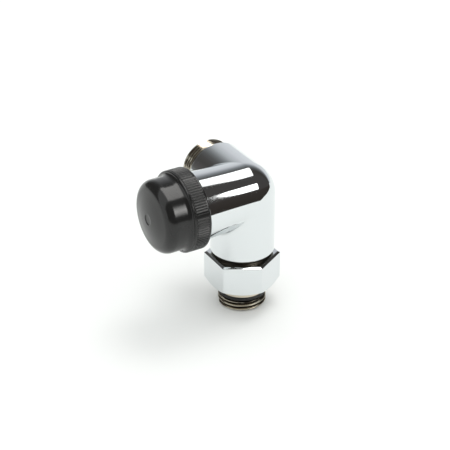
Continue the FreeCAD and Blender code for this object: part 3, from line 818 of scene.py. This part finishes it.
CHROME = grained("chrome", (0.735, 0.765, 0.775), 1, 0.05, (900, 1e-6, 0.03, 0.06))
NICKEL = grained("nickel", (0.66, 0.60, 0.49), 1, 0.15, (1500, 2e-6, 0.08, 0.16))
# Painted shade: the nickel darkens to near-black towards the roots of its threads.
paint_groove_shade(NICKEL, (0.055, 0.045, 0.035))
# Painted shade: a near-black rough metal for the union stub's neck below the leg's end, standing in for the
# shadow in the gap above the nut.
STUB_SHADE = grained("stub_painted_shade", (0.10, 0.09, 0.075), 1, 0.3, (1500, 4e-6, 0.28, 0.4))
BRASS = grained("brass", (0.80, 0.60, 0.28), 1, 0.25, (1500, 4e-6, 0.18, 0.30))
STEEL = grained("steel", (0.60, 0.60, 0.60), 1, 0.2, (1500, 3e-6, 0.15, 0.26))
PLASTIC = grained("black_plastic", (0.013, 0.0128, 0.0125), 0, 0.15, (2500, 3e-6, 0.12, 0.19), IOR=1.45)
RUBBER = grained("black_rubber", (0.010, 0.010, 0.010), 0, 0.6, (2500, 8e-6, 0.5, 0.65))
FINISH = {"chromed_brass": CHROME, "nickelled_brass": NICKEL, "plain_brass": BRASS, "stainless_steel": STEEL,
          "black_plastic": PLASTIC, "black_rubber": RUBBER}

# CAD nodes that stay visible take the material of their slot
SLOT_OF = {part["node"]: part["material_slot"] for part in frame["record"]["subparts"]}
for node_name, node in frame["nodes"].items():
    node.data.materials.clear()
    node.data.materials.append(FINISH[SLOT_OF[node_name]])

# groove gives the port thread's depth, which the nickel paints as shade in its roots; the tail below does the
# same.
body = put("casting", *casting(), CHROME, "valve", ["valve_body"], "chromed_brass", exact=casting_normals,
           groove=(0, (0, 0, CENTRE_Z), PIPE_THREAD, -30.6, -PIPE_END - 0.5))
body.data.materials.append(NICKEL)
body.data.materials.append(STUB_SHADE)
# Port thread faces take the nickel; the neck faces below the leg's end take the near-black painted shade for
# the gap above the nut.
for face in body.data.polygons:
    x, y, z = np.array(face.center) / MM
    if x < -PIPE_END - 0.02:
        face.material_index = 1
    elif z < CENTRE_Z - LEG_END + 0.02 and math.hypot(x, y) < TUBE_R - 0.6:
        face.material_index = 2
put("hexagon_nut", *union_nut(), CHROME, "nut", ["union_nut"], "chromed_brass")
put("union_tail", *tailpiece(), NICKEL, "tail", ["tailpiece"], "nickelled_brass",
    groove=(2, (0, 0, 0), TAIL_THREAD, 0.1, 4.9))
put("insert_body", *bonnet(), BRASS, "valve", ["insert_bonnet"], "plain_brass")
put("screw_cap", *cap(), PLASTIC, "hand_cap", ["protective_cap"], "black_plastic")


# ---- stage, in metres ----
CARD_STEPS = 24            # faces along each side of a card
START_BOW = 0.1            # a card's start is rounded by this share of its end's rounding


def card(name, turns, tilts, distance, glow, strength=1.0, towards="+Y", round_end=0.0, skews=(0, 0),
         last_turn=None):
    """A glowing part of a ball around the object that only shiny surfaces see.

    With towards "+Y", turns are degrees about the head's axis from +X up to +Z, and tilts are degrees
    from there towards +Y. With "-X", turns go about the port's axis from -Y up to +Z, and tilts towards
    -X. glow is one colour, or a list of (turn, colour) that is blended between its turns. round_end
    rounds both ends in tilt and skews slant them, in degrees. last_turn is the first turn at the last
    tilt, where that differs.
    """
    points, faces, steps = [], [], CARD_STEPS
    for share in np.linspace(0, 1, steps + 1):
        for across in np.linspace(-1, 1, steps + 1):
            start = turns[0] if last_turn is None else turns[0] + (last_turn - turns[0]) * share
            turn = math.radians(start + (turns[1] - start) * (across + 1) / 2)
            bow = round_end * (1 - math.sqrt(1 - across ** 2))
            first = tilts[0] + skews[0] * across + START_BOW * bow
            last = tilts[1] + skews[1] * across - bow
            tilt = math.radians(first + (last - first) * share)
            out, along = distance * math.cos(turn) * math.cos(tilt), distance * math.sin(tilt)
            lift = CENTRE_Z * MM + distance * math.sin(turn) * math.cos(tilt)
            points.append((out, along, lift) if towards == "+Y" else (-along, -out, lift))
    for j in range(steps):
        for i in range(steps):
            a = j * (steps + 1) + i
            faces.append((a, a + 1, a + steps + 2, a + steps + 1))
    mesh = bpy.data.meshes.new(name)
    mesh.from_pydata(points, [], faces)
    mesh.materials.append(glowing(name, glow, strength))
    shade = mesh.attributes.new("turn", "FLOAT", "POINT")
    shade.data.foreach_set("value", np.tile(np.linspace(*turns, steps + 1), steps + 1).astype(np.float32))
    piece = bpy.data.objects.new(name, mesh)
    bpy.context.scene.collection.objects.link(piece)
    piece.visible_camera = False
    piece.visible_diffuse = False
    piece.visible_shadow = False
    piece.visible_transmission = False


def glowing(name, glow, strength):
    """A light-emitting material whose colour follows the card's stored turn."""
    material = bpy.data.materials.new(name)
    material.use_nodes = True
    nodes, links = material.node_tree.nodes, material.node_tree.links
    nodes.clear()
    end = nodes.new("ShaderNodeOutputMaterial")
    light = nodes.new("ShaderNodeEmission")
    links.new(light.outputs["Emission"], end.inputs["Surface"])
    if isinstance(glow, tuple):
        light.inputs["Color"].default_value = (*glow, 1)
        light.inputs["Strength"].default_value = strength
        return material
    stored = nodes.new("ShaderNodeAttribute")
    stored.attribute_name = "turn"
    low, high = glow[0][0], glow[-1][0]
    spread = nodes.new("ShaderNodeMapRange")
    spread.inputs["From Min"].default_value = low
    spread.inputs["From Max"].default_value = high
    links.new(stored.outputs["Fac"], spread.inputs["Value"])
    ramp = nodes.new("ShaderNodeValToRGB")
    stops = ramp.color_ramp.elements
    while len(stops) < len(glow):
        stops.new(0.5)
    for stop, (turn, color) in zip(stops, glow):
        stop.position = (turn - low) / (high - low)
        stop.color = (*[channel * strength for channel in color], 1)
    links.new(spread.outputs["Result"], ramp.inputs["Fac"])
    links.new(ramp.outputs["Color"], light.inputs["Color"])
    return material


FLOOR_HALF = 6.0


def floor():
    """A plain square floor at height 0."""
    corners = [(-FLOOR_HALF, -FLOOR_HALF, 0), (FLOOR_HALF, -FLOOR_HALF, 0),
               (FLOOR_HALF, FLOOR_HALF, 0), (-FLOOR_HALF, FLOOR_HALF, 0)]
    mesh = bpy.data.meshes.new("floor")
    mesh.from_pydata(corners, [], [(0, 1, 2, 3)])
    mesh.materials.append(grained("floor", (0.865, 0.868, 0.85), 0, 0.9, (60, 1e-6, 0.85, 0.95)))
    piece = bpy.data.objects.new("floor", mesh)
    bpy.context.scene.collection.objects.link(piece)


floor()
SIDE_GLOW = [(-10, (0.060, 0.052, 0.048)), (-6, (0.038, 0.032, 0.028)), (22, (0.046, 0.039, 0.036)),
             (28, (0.066, 0.060, 0.058)), (76, (0.068, 0.064, 0.062)), (104, (0.055, 0.050, 0.046)),
             (112, (0.085, 0.083, 0.083)), (121, (0.13, 0.13, 0.135)), (127, (0.19, 0.20, 0.205)),
             (133, (0.29, 0.30, 0.315)), (139, (0.45, 0.46, 0.49)), (145, (0.62, 0.63, 0.66)),
             (151, (0.74, 0.75, 0.78)), (163, (0.79, 0.81, 0.84)), (200, (0.84, 0.86, 0.88))]
BACK_GLOW = [(-12, (0.60, 0.60, 0.60)), (-4, (0.36, 0.37, 0.36)), (4, (0.20, 0.20, 0.195)),
             (12, (0.12, 0.115, 0.11)), (28, (0.095, 0.088, 0.085)), (44, (0.074, 0.070, 0.066)),
             (60, (0.085, 0.080, 0.078)), (76, (0.12, 0.12, 0.12)), (88, (0.19, 0.195, 0.20)),
             (100, (0.32, 0.33, 0.34)), (112, (0.50, 0.515, 0.53)), (124, (0.62, 0.64, 0.66)),
             (140, (0.74, 0.77, 0.79)), (160, (0.80, 0.82, 0.84))]
FRONT_GLOW = [(-22, (0.16, 0.15, 0.14)), (-14, (0.045, 0.040, 0.035)), (60, (0.055, 0.050, 0.046))]
EDGE_GLOW = [(-12, (0.040, 0.034, 0.030)), (2, (0.038, 0.032, 0.028))]
SOFTBOX = (1.0, 0.99, 0.97)
TIP_GLOW = [(16, (0.05, 0.05, 0.05)), (24, (0.55, 0.55, 0.54)), (32, (0.95, 0.94, 0.92)),
            (40, (0.55, 0.55, 0.54)), (48, (0.05, 0.05, 0.05))]
card("dark_side", (-10, 200), (21, 87), 2.4, SIDE_GLOW)
card("dark_back", (-12, 160), (24, 86), 2.6, BACK_GLOW, towards="-X")
card("dark_front", (-22, 67), (-70, 21), 2.5, FRONT_GLOW)
card("dark_edge", (-11.5, 2), (23, 31), 0.24, EDGE_GLOW)
card("dark_bent_edge", (-11.5, 2), (31, 44), 0.24, EDGE_GLOW, last_turn=-6.5)
card("dark_far_edge", (-6.5, 2), (44, 84), 0.24, EDGE_GLOW, last_turn=-4)
card("low_softbox", (28.5, 49.5), (27.1, 32.4), 2.1, SOFTBOX, strength=2.6, round_end=1.1, skews=(0.1, 0.5))
card("low_softbox_tip", (16, 48), (6, 26.3), 2.1, TIP_GLOW, strength=10)
card("high_softbox", (79.5, 116.5), (25.0, 32.5), 2.0, SOFTBOX, strength=1.8, round_end=1.4, skews=(0, 0.9))
card("high_softbox_tip", (69, 116.5), (-12, 26.6), 2.0, SOFTBOX, strength=4.5)

KEY_SIZE, KEY_DISTANCE = 0.9, 2.0
KEY_POWER = 8.5            # watts
key_data = bpy.data.lights.new("key", "AREA")
key_data.shape = "DISK"
key_data.size = KEY_SIZE
key_data.energy = KEY_POWER
key = bpy.data.objects.new("key", key_data)
bpy.context.scene.collection.objects.link(key)
key_way = Vector((-0.10, 0.30, 0.95)).normalized()
key.location = key_way * KEY_DISTANCE + Vector((0, 0, CENTRE_Z * MM))
key.rotation_mode = "QUATERNION"
key.rotation_quaternion = key_way.to_track_quat("Z", "Y")
key.visible_glossy = False

SKY_COLOR, SKY_STRENGTH = (0.98, 1.0, 1.0), 1.08
world = bpy.data.worlds.new("world")
world.use_nodes = True
background = world.node_tree.nodes["Background"]
background.inputs["Color"].default_value = (*SKY_COLOR, 1)
background.inputs["Strength"].default_value = SKY_STRENGTH
bpy.context.scene.world = world

# ---- camera, in metres; its lens in millimetres ----
AZIMUTH, LIFT, DISTANCE = math.radians(58.975), math.radians(30.029), 0.622356
ASIDE, ABOVE = -0.007374, 0.032334        # where the camera aims beside the frame's origin
SENSOR_WIDTH, LENS = 36.0, 113.117
back = Vector((math.sin(AZIMUTH) * math.cos(LIFT), -math.cos(AZIMUTH) * math.cos(LIFT), math.sin(LIFT)))
right = Vector((math.cos(AZIMUTH), math.sin(AZIMUTH), 0))
up = back.cross(right)
camera_data = bpy.data.cameras.new("camera")
camera_data.sensor_width = SENSOR_WIDTH
camera_data.lens = LENS
camera = bpy.data.objects.new("camera", camera_data)
bpy.context.scene.collection.objects.link(camera)
axes = Matrix((right, up, back)).transposed().to_4x4()
camera.matrix_world = Matrix.Translation(back * DISTANCE + right * ASIDE + up * ABOVE) @ axes
bpy.context.scene.camera = camera
bpy.context.scene.view_settings.view_transform = "Standard"
